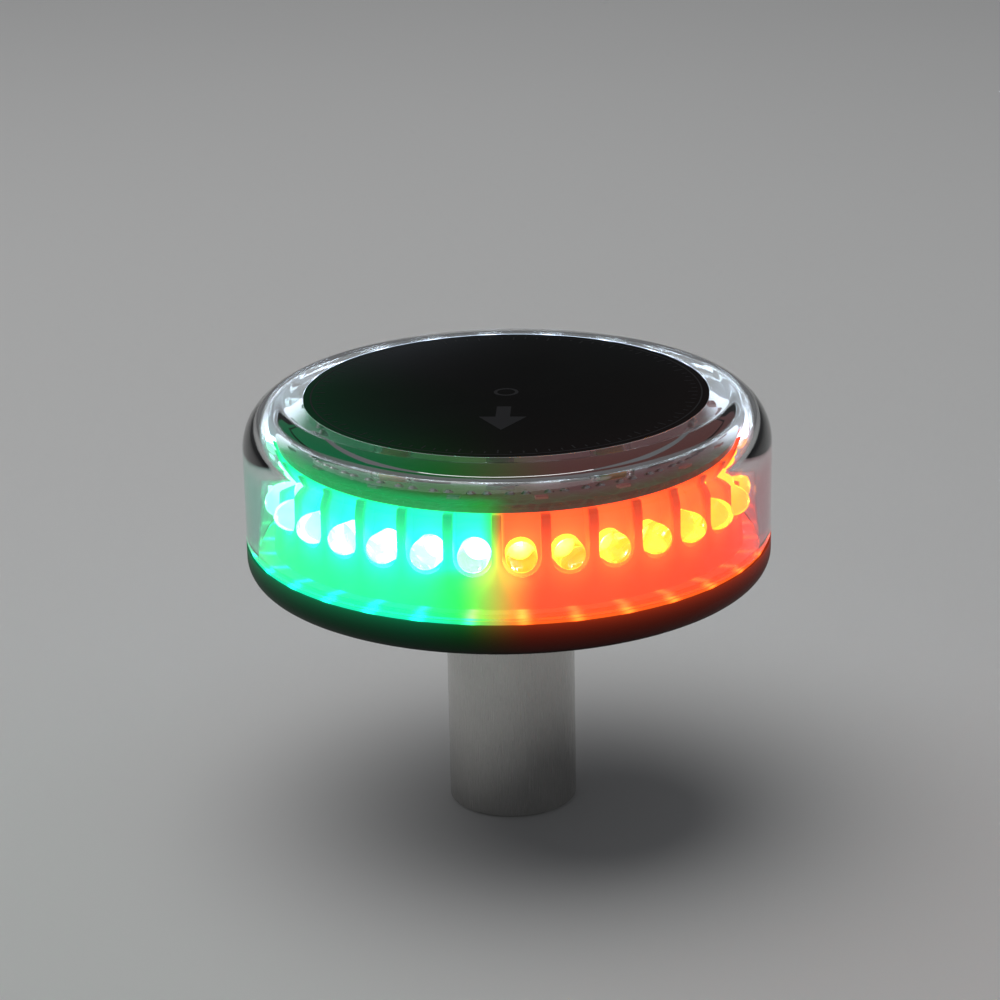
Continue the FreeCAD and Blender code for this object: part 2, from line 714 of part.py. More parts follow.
def base_housing():
    """A shallow bowl whose underside slopes to the collar, with a blind socket for the
    stem, a cable hole in the socket's roof and bosses for the long screws."""
    body = new_body("base_housing", SCREW_ANGLE)
    floor_outer = "-(dims.base_depth - dims.floor_thick)"
    floor_inner = "-(dims.collar_root_depth - dims.floor_thick)"
    bore = "dims.spigot_radius + dims.socket_gap"
    revolve(body, "bowl", [
        ("dims.cover_radius", BASE_FACE),
        ("dims.base_bore", BASE_FACE),
        ("dims.base_bore", floor_outer),
        ("dims.floor_slope_radius", floor_outer),
        ("dims.hub_radius", floor_inner),
        ("dims.hub_radius", "0"),
        ("dims.cable_hole", "0"),
        ("dims.cable_hole", "-dims.socket_roof"),
        (bore, "-dims.socket_roof"),
        (bore, "-dims.collar_depth"),
        ("dims.collar_radius", "-dims.collar_depth"),
        ("dims.collar_radius", "-dims.collar_root_depth"),
        ("dims.floor_slope_radius", "-dims.base_depth"),
        ("dims.cover_radius", "-dims.base_depth"),
    ])
    lower_edge = rims(body, "dims.cover_radius", "-dims.base_depth")
    soften(body, "lower_edge", "Fillet", "dims.base_round", lower_edge)
    root = rims(body, "dims.collar_radius", "-dims.collar_root_depth")
    soften(body, "collar_root", "Fillet", "dims.collar_round", root)
    mouth = rims(body, "dims.collar_radius", "-dims.collar_depth")
    soften(body, "collar_mouth", "Chamfer", "dims.collar_edge", mouth)
    boss_circle = new_sketch(body, "boss_circle", "XY_Plane", "-dims.base_depth")
    draw_circle(boss_circle, "dims.fixing_circle", "0", "dims.boss_radius")
    boss = pad(body, "boss", boss_circle, "dims.base_depth + dims.foot_top - dims.small_gap")
    repeat(body, "bosses", [boss], "4")
    below = "-dims.collar_depth"
    well = [("dims.fixing_circle", "0", "dims.screw_well")]
    cut_circles(body, "well", below, "dims.collar_depth - dims.screw_seat", well, "4")
    clear = [("dims.fixing_circle", "0", "dims.clear_radius")]
    cut_circles(body, "long_screw_hole", below, "dims.collar_depth + 1", clear, "4")
    axis_height = "-dims.grub_depth"
    threaded = [("0", axis_height, "dims.grub_radius + dims.small_gap")]
    thread_depth = "dims.collar_radius + 1 - dims.spigot_radius"
    sleeve = [("0", axis_height, "dims.grub_insert_radius + dims.small_gap")]
    sleeve_depth = "dims.collar_radius + 1 - dims.grub_insert_inner + dims.small_gap"
    start = "dims.collar_radius + 1"
    cut_circles(body, "grub_hole", start, thread_depth, threaded, "3", "YZ_Plane", False)
    cut_circles(body, "sleeve_hole", start, sleeve_depth, sleeve, "3", "YZ_Plane", False)
    groove = new_sketch(body, "groove_outline", "XZ_Plane")
    half = "dims.ring_groove / 2"
    deep = "dims.spigot_radius + dims.ring_cord + dims.small_gap * 2"
    draw_box(groove, bore + " - 1", deep, "-dims.ring_depth - " + half, "-dims.ring_depth + " + half)
    cut = body.newObject("PartDesign::Groove", "ring_groove")
    cut.Profile = groove
    cut.ReferenceAxis = (groove, ["V_Axis"])
    cut.Angle = 360
    before = body.Shape.Volume
    doc.recompute()
    if body.Shape.Volume > before - 1:
        raise RuntimeError("the O-ring groove cuts nothing")
    return body


def stem_ring():
    ring = doc.addObject("Part::Torus", "stem_o_ring")
    ring.setExpression("Radius2", "dims.ring_cord / 2")
    ring.setExpression("Radius1", GRIP_RADIUS + " + dims.ring_cord / 2")
    ring.setExpression("Placement.Base.z", "dims.joint_height - dims.ring_depth")
    return ring


def radial_group(label, profile):
    """Three turned pieces that point at the stem. The profile's entries are the distance
    from Z and the radius about the set screws' axis."""
    body = new_body(label, SCREW_ANGLE)
    level = "-dims.grub_depth"
    path = [(distance, "%s + %s" % (level, radius)) for distance, radius in profile]
    axis = [(GRIP_RADIUS, level), ("dims.grub_back", level)]
    piece = revolve(body, "piece", path, axis)
    return body, piece


def collar_inserts():
    inner = "dims.grub_radius + dims.small_gap"
    body, sleeve = radial_group("collar_inserts", [
        ("dims.grub_insert_inner", inner),
        ("dims.grub_insert_outer", inner),
        ("dims.grub_insert_outer", "dims.grub_insert_radius"),
        ("dims.grub_insert_inner", "dims.grub_insert_radius"),
    ])
    repeat(body, "sleeves", [sleeve], "3")
    return body


def set_screws():
    body, screw = radial_group("set_screws", [
        (GRIP_RADIUS, "0"),
        (GRIP_RADIUS, "dims.grub_radius - dims.grub_point"),
        (GRIP_RADIUS + " + dims.grub_point", "dims.grub_radius"),
        ("dims.grub_back", "dims.grub_radius"),
        ("dims.grub_back", "0"),
    ])
    recess = new_sketch(body, "hexagon", "YZ_Plane", "dims.grub_back")
    draw_hexagon(recess, "0", "-dims.grub_depth", "dims.hex_radius")
    cut = pocket(body, "recess", recess, "dims.hex_depth")
    repeat(body, "screws", [screw, cut], "3")
    return body


def cable_grommet():
    body = new_body("cable_grommet")
    neck = "dims.cable_hole - dims.small_gap"
    flange = "dims.cable_hole + dims.grommet_lip"
    low = "-dims.socket_roof"
    revolve(body, "grommet", [
        ("dims.grommet_bore", low + " - dims.grommet_face"),
        (flange, low + " - dims.grommet_face"),
        (flange, low),
        (neck, low),
        (neck, "0"),
        (flange, "0"),
        (flange, "dims.grommet_face"),
        ("dims.grommet_bore", "dims.grommet_face"),
    ])
    return body


def stem_tube():
    """A tube with a spigot that stands in the socket and a shoulder under the collar."""
    body = new_body("stem_tube", height="0")
    inner = "dims.stem_radius - dims.stem_wall"
    shoulder = "dims.joint_height - dims.collar_depth - dims.small_gap"
    top = "dims.joint_height - dims.socket_roof - dims.stem_top_gap"
    revolve(body, "tube", [
        (inner, "0"),
        ("dims.stem_radius", "0"),
        ("dims.stem_radius", shoulder),
        ("dims.spigot_radius", shoulder),
        ("dims.spigot_radius", top),
        (inner, top),
    ])
    ends = rims(body, "dims.stem_radius", "0") + rims(body, "dims.spigot_radius", top)
    soften(body, "edges", "Chamfer", "dims.stem_edge", ends)
    return body


# ---------------------------------------------------------------- the whole light

def build_all():
    green_start = BOW_ANGLE - HALF_STEP - LED_STEP * (measure("dims.green_count") - 1)
    red_start = BOW_ANGLE + HALF_STEP
    white_start = red_start + LED_STEP * measure("dims.red_count")
    return [
        lens_cover(),
        top_label(),
        cover_seal(),
        led_carrier(),
        led_group("green_leds", "dims.green_count", green_start),
        led_group("red_leds", "dims.red_count", red_start),
        led_group("white_leds", "dims.white_count", white_start),
        led_leads(),
        circuit_board(),
        solder_joints(),
        block_group("led_resistors", LED_STEP, "resistor", "dims.resistor_circle", 16),
        block_group("driver_chips", CHIP_ANGLE, "chip", "dims.part_circle", 3),
        block_group("power_inductors", COIL_ANGLE, "coil", "dims.part_circle", 3, "dims.coil_corner"),
        block_group("protection_diode", 0, "diode", "0", 1),
        filter_capacitors(),
        terminal_block(),
        terminal_screws(),
        board_screws(),
        long_screws(),
        screw_seals(),
        cover_inserts(),
        base_housing(),
        stem_ring(),
        collar_inserts(),
        set_screws(),
        cable_grommet(),
        stem_tube(),
    ]


def check_document():
    for item in doc.Objects:
        if "Invalid" in item.State or "Error" in item.State:
            raise RuntimeError("%s is %s" % (item.Label, item.State))


def write_parts(pieces):
    os.makedirs("parts", exist_ok=True)
    for piece in pieces:
        if piece.Shape.isNull() or not piece.Shape.isValid():
            raise RuntimeError("%s has no valid shape" % piece.Label)
        solids = len(piece.Shape.Solids)
        print("%-20s %3d solids %10.1f mm3" % (piece.Label, solids, piece.Shape.Volume))
    for piece in pieces:
        piece.Shape.exportStep("parts/%s.step" % piece.Label)


parts = build_all()
doc.recompute()
check_document()
write_parts(parts)
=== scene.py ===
import math

import bmesh
import bpy
from mathutils import Matrix, Quaternion, Vector


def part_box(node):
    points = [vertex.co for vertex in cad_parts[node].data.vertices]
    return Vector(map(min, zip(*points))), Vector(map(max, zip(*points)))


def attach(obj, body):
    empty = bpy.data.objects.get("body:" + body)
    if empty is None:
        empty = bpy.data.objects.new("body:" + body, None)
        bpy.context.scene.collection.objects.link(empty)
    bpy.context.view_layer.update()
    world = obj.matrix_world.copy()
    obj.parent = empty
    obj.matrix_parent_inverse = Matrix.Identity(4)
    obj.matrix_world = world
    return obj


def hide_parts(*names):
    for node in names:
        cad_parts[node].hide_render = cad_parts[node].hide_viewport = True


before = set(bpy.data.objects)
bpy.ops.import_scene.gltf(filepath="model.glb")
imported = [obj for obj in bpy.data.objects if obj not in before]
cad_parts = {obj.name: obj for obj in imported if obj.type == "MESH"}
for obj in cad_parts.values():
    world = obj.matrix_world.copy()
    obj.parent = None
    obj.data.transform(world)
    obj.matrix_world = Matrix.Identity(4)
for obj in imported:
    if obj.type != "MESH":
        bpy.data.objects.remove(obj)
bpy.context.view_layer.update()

# A three-colour navigation light, lit. Lengths are millimetres until a mesh is made.
# Heights are above the joint of cover and base. A bearing is degrees from the bow (-Y)
# towards port (+X): red runs from 0 to 112.5, green from 0 to -112.5, white is astern.
# A colour's parts are linear, and a light's may be above 1.

MM = 0.001
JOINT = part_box("lens_cover")[0].z / MM

# The angle past which an edge is sharp, and how many facets a turned surface has.
SHARP = 30
SEGMENTS = 288
POST_SEGMENTS = 48
MARK_SEGMENTS = 144
LENS_SEGMENTS = 40
CUP_SEGMENTS = 24

# The cover, with its posts and the recess for the label.
COVER_RADIUS = 45.0
COVER_TOP = 24.2
COVER_WALL = 3.0
SHOULDER = 8.4
INNER_ROUND = 4.0
FOOT_ROUND = 0.4
RECESS_RADIUS = 34.5
POSTS = 4
POST_CIRCLE = 25.0
POST_RADIUS = 3.5
POST_ROOT = 0.8
POST_END = 17.25
POST_HOLE = 2.25
POST_HOLE_DEPTH = 3.65

# The label and the marks on it. The film is bonded to the cover, so it reaches in by BOND.
LABEL_RADIUS = 34.4
LABEL_THICK = 0.3
LABEL_SINK = 0.03
LABEL_BEVEL = 0.05
BOND = 0.02
MARK_SINK = 0.01
EDGE_RING = (33.0, 33.25)
CENTRE_RING = (1.5, 2.1)
TICKS = 96
TICK_END = 32.4
TICK_HALF_WIDTH = 0.12
TICK_LENGTH = 0.9
LONG_TICK_LENGTH = 1.6
LONG_TICK_EVERY = 3

# The drum's face, the tops of its slots and the tops of the chips on the board.
DRUM_RADIUS = 39.5
SLOT_TOP = 15.6
CHIP_TOP = 17.75

# The LEDs. Places along an LED are distances from the light's axis. An LED_SPOT is the
# width of the bright spot painted below each LED as glow.
SIDE_LEDS = 10
STERN_LEDS = 12
LED_STEP = 11.25
SECTOR_EDGE = SIDE_LEDS * LED_STEP
LED_HEIGHT = 9.2
LED_SPOT = 0.65
LED_BACK = 32.7
LED_TIP = 41.3
LENS_RADIUS = 2.5
LENS_FILLET = 0.1
FLANGE_RADIUS = 2.9
FLANGE_THICK = 1.0
FLANGE_BEVEL = 0.15
DIE_SEAT = 36.4
DIE_GAP = 0.02
DIE_HALF = 0.17
DIE_THICK = 0.2
CUP_FLOOR = 0.35
CUP_RADIUS = 0.8
CUP_DRAFT = 0.05
CUP_WALL = 0.08
CUP_BASE = 0.5
CUP_RISE = 0.55
LEG_HALF = 0.22
LEG_BACK = LED_BACK + 0.3
CUP_LEG = (-1.5, 0.5)
CUP_LEG_END = DIE_SEAT - 0.45
WIRE_LEG = (0.95, 1.55)
WIRE_LEG_END = DIE_SEAT + 0.5

# The colours of the lamps; lime is a share of green.
GREEN = (0.005, 0.93, 0.33)
LIME_SHARE = (3.0, 0.92, 0.25)
RED = (1.0, 0.07, 0.012)
WHITE = (0.72, 0.85, 1.0)


# ---------------------------------------------------------------- materials

class Field:
    """A number that varies over a material, for ordinary arithmetic."""

    def __init__(self, graph, socket):
        self.graph = graph
        self.socket = socket

    def __add__(self, other):
        return self.graph.math("ADD", self, other)

    def __sub__(self, other):
        return self.graph.math("SUBTRACT", self, other)

    def __rsub__(self, other):
        return self.graph.math("SUBTRACT", other, self)

    def __mul__(self, other):
        return self.graph.math("MULTIPLY", self, other)

    def __truediv__(self, other):
        return self.graph.math("DIVIDE", self, other)

    __radd__ = __add__
    __rmul__ = __mul__


class Graph:
    """The node tree of one material, in the object's own coordinates in millimetres."""

    def __init__(self, name):
        self.material = bpy.data.materials.new(name)
        self.material.use_nodes = True
        self.tree = self.material.node_tree
        self.tree.nodes.clear()
        self.output = self.node("OutputMaterial")
        place = self.node("TexCoord").outputs["Object"]
        to_mm = {0: place, 1: (1 / MM,) * 3}
        self.place = self.node("VectorMath", to_mm, operation="MULTIPLY").outputs[0]
        axes = self.node("SeparateXYZ", {0: self.place}).outputs
        self.x, self.y, z = (Field(self, socket) for socket in axes)
        self.height = z - JOINT

    def node(self, kind, inputs=None, **settings):
        made = self.tree.nodes.new("ShaderNode" + kind)
        for key, value in settings.items():
            setattr(made, key, value)
        for key, value in (inputs or {}).items():
            self.feed(made.inputs[key], value)
        return made

    def feed(self, socket, value):
        if isinstance(value, Field):
            value = value.socket
        if isinstance(value, bpy.types.NodeSocket):
            self.tree.links.new(value, socket)
        elif socket.type == "RGBA":
            socket.default_value = (*value, 1.0)
        else:
            socket.default_value = value

    def math(self, operation, *values):
        made = self.node("Math", dict(enumerate(values)), operation=operation)
        return Field(self, made.outputs[0])

    def smooth(self, value, low, high):
        """0 below low, 1 above high, and a soft step between them."""
        made = self.node("MapRange", {0: value, 1: low, 2: high}, interpolation_type="SMOOTHSTEP")
        return Field(self, made.outputs[0])

    def peak(self, squared, width):
        """1 at a distance of 0, falling as a bell curve of that width."""
        return self.math("EXPONENT", squared * (-0.5 / width ** 2))

    def noise(self, size, detail=3.0, stretch=None):
        """Noise from 0 to 1 whose features are about size across."""
        place = self.place
        if stretch:
            stretched = {0: place, 1: stretch}
            place = self.node("VectorMath", stretched, operation="MULTIPLY").outputs[0]
        made = self.node("TexNoise", {"Vector": place, "Scale": 1 / size, "Detail": detail})
        return Field(self, made.outputs["Fac"])

    def radius(self):
        return self.math("SQRT", self.x * self.x + self.y * self.y)

    def bearing(self):
        return self.math("ARCTAN2", self.x, 0 - self.y) * math.degrees(1)

    def astern(self, blur=4):
        """1 in the white sector and 0 ahead of it."""
        bearing = self.math("ABSOLUTE", self.bearing())
        return self.smooth(bearing, SECTOR_EDGE - blur, SECTOR_EDGE + blur)

    def blend(self, factor, first, second):
        made = self.node("Mix", {0: factor, 6: first, 7: second}, data_type="RGBA")
        return made.outputs[2]

    def scale(self, tint, factor):
        made = self.node("VectorMath", {0: tint, "Scale": factor}, operation="SCALE")
        return made.outputs[0]

    def bump(self, height, strength, distance):
        made = self.node("Bump", {"Strength": strength, "Distance": distance, "Height": height})
        return made.outputs[0]

    def surface(self, **inputs):
        named = {key.replace("_", " "): value for key, value in inputs.items()}
        shader = self.node("BsdfPrincipled", named)
        self.feed(self.output.inputs["Surface"], shader.outputs[0])
        return shader


def sector_tint(graph, bow_blur, green=GREEN, red=RED, white=WHITE, stern_blur=4):
    """The colour of the lamps that shine at this bearing; green turns to lime beside red."""
    bearing = graph.bearing()
    lime = tuple(part * share for part, share in zip(green, LIME_SHARE))
    near_bow = graph.smooth(bearing, bow_blur * -2.4, bow_blur * -0.4)
    to_port = graph.smooth(bearing, bow_blur * -1, bow_blur)
    ahead = graph.blend(to_port, graph.blend(near_bow, green, lime), red)
    return graph.blend(graph.astern(stern_blur), ahead, white)


def from_led(graph):
    """Distance round the drum from the nearest LED's axis, squared."""
    half = LED_STEP / 2
    offset = half - graph.math("PINGPONG", graph.bearing(), half)
    distance = offset * math.radians(DRUM_RADIUS)
    return distance * distance


def scaled(tint, factor):
    return tuple(part * factor for part in tint)


def plastic(name, tint, roughness, variation=0.12, grain=0.25, relief=0.04):
    """Moulded plastic or rubber with a fine texture and slightly uneven gloss."""
    graph = Graph(name)
    cloudy = graph.noise(9.0)
    fine = graph.noise(grain, 2.0)
    graph.surface(
        Base_Color=graph.blend(cloudy, scaled(tint, 1 - variation), scaled(tint, 1 + variation)),
        Roughness=fine * 0.12 + (roughness - 0.06),
        Normal=graph.bump(fine, 0.5, relief * MM),
    )
    return graph.material


def metal(name, tint, roughness, stretch=(1.0, 1.0, 1.0), grain=0.2):
    """Bare metal whose grain runs along the directions that stretch makes small."""
    graph = Graph(name)
    streaks = graph.noise(grain, 4.0, stretch)
    worn = graph.noise(6.0)
    graph.surface(
        Base_Color=graph.blend(worn, scaled(tint, 0.86), tint),
        Metallic=1.0,
        Roughness=streaks * 0.18 + (roughness - 0.09),
        Normal=graph.bump(streaks, 0.35, 0.02 * MM),
    )
    return graph.material


def clear_plastic():
    """Clear moulded cover whose side walls are tinted with the colour of the lamps behind them, as
    painted light.
    """
    graph = Graph("clear_cover")
    haze = graph.noise(14.0, 2.0)
    bearing = graph.bearing()
    # Painted light: the lower side walls take a tint in the lamps' colours, green to starboard and
    # red to port.
    aside = graph.smooth(graph.math("ABSOLUTE", bearing), 20, 85) * (1 - graph.astern(14))
    wall = aside * (1 - graph.smooth(graph.height, 12, 18))
    to_port = graph.smooth(bearing, -5, 5)
    painted_lamp_tint = graph.blend(to_port, (0.36, 0.94, 0.74), (0.95, 0.48, 0.52))
    glass = graph.surface(
        Base_Color=graph.blend(wall, (0.985, 0.995, 0.99), painted_lamp_tint),
        Roughness=haze * 0.012,
        IOR=1.5,
        Specular_IOR_Level=0.35,
        Transmission_Weight=1.0,
        Normal=graph.bump(graph.noise(11.0, 1.0), 0.25, 0.05 * MM),
    )
    through = graph.node("BsdfTransparent", {"Color": (0.93, 0.95, 0.94)})
    shadow = graph.node("LightPath").outputs["Is Shadow Ray"]
    both = graph.node("MixShader", {0: shadow, 1: glass.outputs[0], 2: through.outputs[0]})
    graph.feed(graph.output.inputs["Surface"], both.outputs[0])
    return graph.material


def lit_drum():
    """White carrier with its LEDs' light painted on: a painted halo round each, brighter slots and
    bright spots below.
    """
    graph = Graph("carrier_white")
    height = graph.height
    radius = graph.radius()
    round_drum = from_led(graph)
    from_axis = height - LED_HEIGHT
    # Painted light: a halo round each LED, brighter slots and a bright spot on the foot below each
    # LED.
    halo = graph.peak(round_drum + from_axis * from_axis, 2.8)
    on_face = graph.smooth(radius, 38.6, 39.3)
    face = 1.1 - graph.smooth(height, 9, SLOT_TOP) * 0.5
    slot = 1.9 - graph.smooth(height, 12, SLOT_TOP) * 0.4
    foot = 1 - graph.smooth(height, 0.5, 0.9)
    level = face * on_face + slot * (1 - on_face) + halo * 2.4
    level = level + foot * (0.2 + graph.peak(round_drum, LED_SPOT) * 3.0)
    level = level * graph.smooth(radius, 31, 35) * (0.94 + graph.noise(3.0) * 0.12)
    level = level * (1 - graph.astern() * 0.62) + halo * graph.astern() * 0.35
    bow_blur = 10 - graph.smooth(height, 5, 9) * 8
    tint = sector_tint(graph, bow_blur)
    # Painted light: the white carrier's base colour takes the lamps' tint, and its emission is the
    # painted glow.
    graph.surface(
        Base_Color=graph.scale(tint, 0.22),
        Roughness=0.42 + graph.noise(0.3) * 0.1,
        Emission_Color=graph.scale(tint, level / 8),
        Emission_Strength=8.0,
        Normal=graph.bump(graph.noise(0.4), 0.3, 0.02 * MM),
    )
    return graph.material


def lit_wire():
    """Tinned leads, with the LEDs' light painted on as a glow."""
    graph = Graph("tinned_wire")
    # Painted light: the leads glow in the colour of the lamps at their bearing.
    tint = sector_tint(graph, 1)
    graph.surface(
        Base_Color=graph.blend(graph.noise(2.0), (0.6, 0.6, 0.58), (0.72, 0.72, 0.7)),
        Metallic=1.0,
        Roughness=0.3 + graph.noise(0.3) * 0.1,
        Emission_Color=graph.scale(tint, 0.8),
        Emission_Strength=1.0,
    )
    return graph.material


def lit_chip():
    """Small chips on the board, with the LEDs' light painted on as a faint glow."""
    graph = Graph("chip_grey")
    top = graph.smooth(graph.height, CHIP_TOP - 0.08, CHIP_TOP - 0.02)
    # Painted light: a faint glow in the lamps' colour; the grey sides and dark top are the chips'
    # own colours.
    graph.surface(
        Base_Color=graph.blend(top, (0.4, 0.4, 0.39), (0.12, 0.12, 0.125)),
        Roughness=0.4 + graph.noise(0.3) * 0.1,
        Emission_Color=graph.scale(sector_tint(graph, 6), 0.1),
        Emission_Strength=1.0,
    )
    return graph.material


def lit_seal():
    """Milky silicone along the joint, with the LEDs' light painted on as a tinted glow."""
    graph = Graph("seal_rubber")
    # Painted light: a glow along the joint with a bright spot below each LED, and a base colour
    # tinted by the lamps.
    level = 1.0 + graph.peak(from_led(graph), LED_SPOT) * 2.8
    tint = sector_tint(graph, 6, (0.01, 0.93, 0.5), (1.0, 0.12, 0.012))
    graph.surface(
        Base_Color=graph.scale(tint, 0.3),
        Roughness=0.5 + graph.noise(0.5) * 0.1,
        Emission_Color=graph.scale(tint, level / 4),
        Emission_Strength=4.0,
    )
    return graph.material


def lit_base():
    """Dark moulded base, with a painted glow where the joint's light spills over its upper edge.
    """
    graph = Graph("base_plastic")
    fine = graph.noise(0.22, 2.0)
    depth = 0 - graph.height
    # Painted light: a glow in the lamps' colours that fades down from the joint.
    spill = graph.math("EXPONENT", depth * -0.62) * graph.smooth(graph.radius(), 43, 44.5)
    tint = sector_tint(graph, 8, scaled(GREEN, 0.17), scaled(RED, 0.33), scaled(WHITE, 0.2))
    graph.surface(
        Base_Color=graph.blend(graph.noise(12.0), (0.003,) * 3, (0.0055,) * 3),
        Roughness=0.44 + fine * 0.14,
        Specular_IOR_Level=0.12,
        Emission_Color=graph.scale(tint, spill),
        Emission_Strength=1.0,
        Normal=graph.bump(fine, 0.5, 0.05 * MM),
    )
    return graph.material


def label_film():
    """Matt black film with a faint painted glow at its rim, and a slightly paler back with a
    stronger painted glow.
    """
    graph = Graph("label_print")
    inset = LABEL_RADIUS - graph.radius()
    rim = graph.math("EXPONENT", inset * -0.1)
    green_side = 1 - graph.smooth(graph.x, -22, 6)
    back = 1 - graph.smooth(graph.height, COVER_TOP - 0.28, COVER_TOP - 0.24)
    # Painted light: glow at the rim, stronger on the green side, and a stronger glow on the back.
    strength = rim * (0.003 + green_side * 0.016) + back * 0.09
    tint = sector_tint(graph, 20, red=(0.8, 0.3, 0.28), stern_blur=30)
    black = graph.blend(graph.noise(7.0), (0.003, 0.003, 0.0028), (0.005, 0.0048, 0.0042))
    fine = graph.noise(0.15, 2.0)
    graph.surface(
        Base_Color=graph.blend(back, black, (0.03, 0.03, 0.028)),
        Roughness=0.5 + fine * 0.15,
        Specular_IOR_Level=0.06,
        Emission_Color=graph.scale(tint, strength),
        Emission_Strength=1.0,
        Normal=graph.bump(fine, 0.3, 0.01 * MM),
    )
    return graph.material


def solder_mask():
    """Green board with tracks under its mask, with the LEDs' light painted on as glow, brighter at
    the rim.
    """
    graph = Graph("board_green")
    spread = {"Vector": graph.place, "Scale": 0.32}
    cells = graph.node("TexVoronoi", spread, feature="DISTANCE_TO_EDGE")
    track = graph.smooth(Field(graph, cells.outputs[0]), 0.05, 0.08)
    mask = graph.blend(graph.noise(5.0), (0.006, 0.07, 0.03), (0.01, 0.1, 0.045))
    # Painted light: the lamps' glow over the board, stronger at the rim, and a pale painted
    # highlight on the rim at either side.
    rim = graph.smooth(graph.radius(), 33, 38.2)
    passed = sector_tint(graph, 5, (0.002, 0.3, 0.06), (0.06, 0.008, 0.006), (0.1, 0.25, 0.16))
    inside = sector_tint(graph, 25, (0.008, 0.12, 0.05), (0.09, 0.035, 0.04), (0.12, 0.13, 0.14))
    lit = graph.blend(rim, inside, passed)
    aside = graph.math("ABSOLUTE", graph.bearing())
    spill = graph.smooth(aside, 70, 105) * (1 - graph.smooth(aside, 115, 135)) * rim
    graph.surface(
        Base_Color=graph.blend(track, (0.012, 0.13, 0.06), mask),
        Roughness=0.3 + graph.noise(0.6) * 0.15,
        Coat_Weight=0.3,
        Emission_Color=graph.blend(spill, graph.scale(lit, 0.4), (0.62, 0.68, 0.8)),
        Emission_Strength=2.5,
        Normal=graph.bump(track, 0.5, 0.03 * MM),
    )
    return graph.material


def led_epoxy(name, tint, haze, strength):
    """Clear coloured epoxy, cloudy with its own light."""
    graph = Graph(name)
    swirl = graph.noise(1.4, 3.0)
    outward = graph.smooth(graph.radius(), LED_BACK, LED_TIP)
    level = strength * (0.35 + outward * 0.65) * (0.7 + swirl * 0.6)
    graph.surface(
        Base_Color=tint,
        Roughness=0.02 + swirl * 0.04,
        IOR=1.5,
        Transmission_Weight=1.0,
        Emission_Color=graph.scale(haze, level),
        Emission_Strength=1.0,
    )
    return graph.material


def glowing(name, tint, strength):
    """A lamp's bright part, a little uneven."""
    graph = Graph(name)
    graph.surface(
        Base_Color=graph.blend(graph.noise(0.5), (0.5, 0.5, 0.5), (0.7, 0.7, 0.7)),
        Roughness=0.3,
        Emission_Color=graph.scale(tint, 0.7 + graph.noise(0.6) * 0.3),
        Emission_Strength=strength,
    )
    return graph.material


# ---------------------------------------------------------------- meshes

def arc(x, z, radius, start, end, steps):
    """Points of a circular arc in the profile's plane, from angle start to end in degrees."""
    points = []
    for index in range(steps + 1):
        angle = math.radians(start + (end - start) * index / steps)
        points.append((x + radius * math.cos(angle), z + radius * math.sin(angle)))
    return points


def turn(mesh, profile, segments, place):
    """Adds a closed surface turned about place's Z axis. A point at radius 0 is a pole."""
    rings = []
    for radius, height in profile:
        ring = []
        for index in range(segments if radius > 1e-6 else 1):
            angle = math.tau * index / segments
            point = Vector((radius * math.cos(angle), radius * math.sin(angle), height))
            ring.append(mesh.verts.new(place @ (point * MM)))
        rings.append(ring)
    pairs = list(zip(rings, rings[1:]))
    if len(rings[0]) > 1 or len(rings[-1]) > 1:
        pairs.append((rings[-1], rings[0]))
    for lower, upper in pairs:
        for index in range(segments):
            following = (index + 1) % segments
            corners = [
                lower[index % len(lower)],
                lower[following % len(lower)],
                upper[following % len(upper)],
                upper[index % len(upper)],
            ]
            corners = list(dict.fromkeys(corners))
            if len(corners) > 2:
                mesh.faces.new(corners)


def slab(mesh, outline, low, high, place):
    """Adds a flat body with an outline in place's XY plane, between two heights."""
    rings = []
    for height in (low, high):
        rings.append([mesh.verts.new(place @ (Vector((x, y, height)) * MM)) for x, y in outline])
    for ring in rings:
        mesh.faces.new(ring)
    for index in range(len(outline)):
        following = (index + 1) % len(outline)
        lower, upper = rings
        mesh.faces.new([lower[index], lower[following], upper[following], upper[index]])


def block(mesh, low, high, place):
    """Adds a box between two corners."""
    made = bmesh.ops.create_cube(mesh, size=1)
    size = [top - bottom for bottom, top in zip(low, high)]
    centre = [(top + bottom) / 2 for bottom, top in zip(low, high)]
    for vert in made["verts"]:
        point = Vector(part * width + middle for part, width, middle in zip(vert.co, size, centre))
        vert.co = place @ (point * MM)


def piece(name, mesh, material, nodes=()):
    """A shown object from a bmesh, in the row frame, that rides on the head."""
    bmesh.ops.recalc_face_normals(mesh, faces=mesh.faces)
    data = bpy.data.meshes.new(name)
    mesh.to_mesh(data)
    mesh.free()
    data.shade_smooth()
    data.set_sharp_from_angle(angle=math.radians(SHARP))
    data.materials.append(material)
    made = bpy.data.objects.new(name, data)
    bpy.context.scene.collection.objects.link(made)
    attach(made, "head")
    if nodes:
        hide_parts(*nodes)
    return made


def at_joint():
    return Matrix.Translation((0, 0, JOINT * MM))


def led_places(first, count):
    """A matrix for each LED: Z points outwards, X runs upwards."""
    places = []
    for index in range(count):
        bearing = math.radians(first + LED_STEP * index)
        outward = Vector((math.sin(bearing), -math.cos(bearing), 0))
        upward = Vector((0, 0, 1))
        across = outward.cross(upward)
        place = Matrix((upward, across, outward)).transposed().to_4x4()
        place.translation = Vector((0, 0, (JOINT + LED_HEIGHT) * MM))
        places.append(place)
    return places


# ---------------------------------------------------------------- cover and label

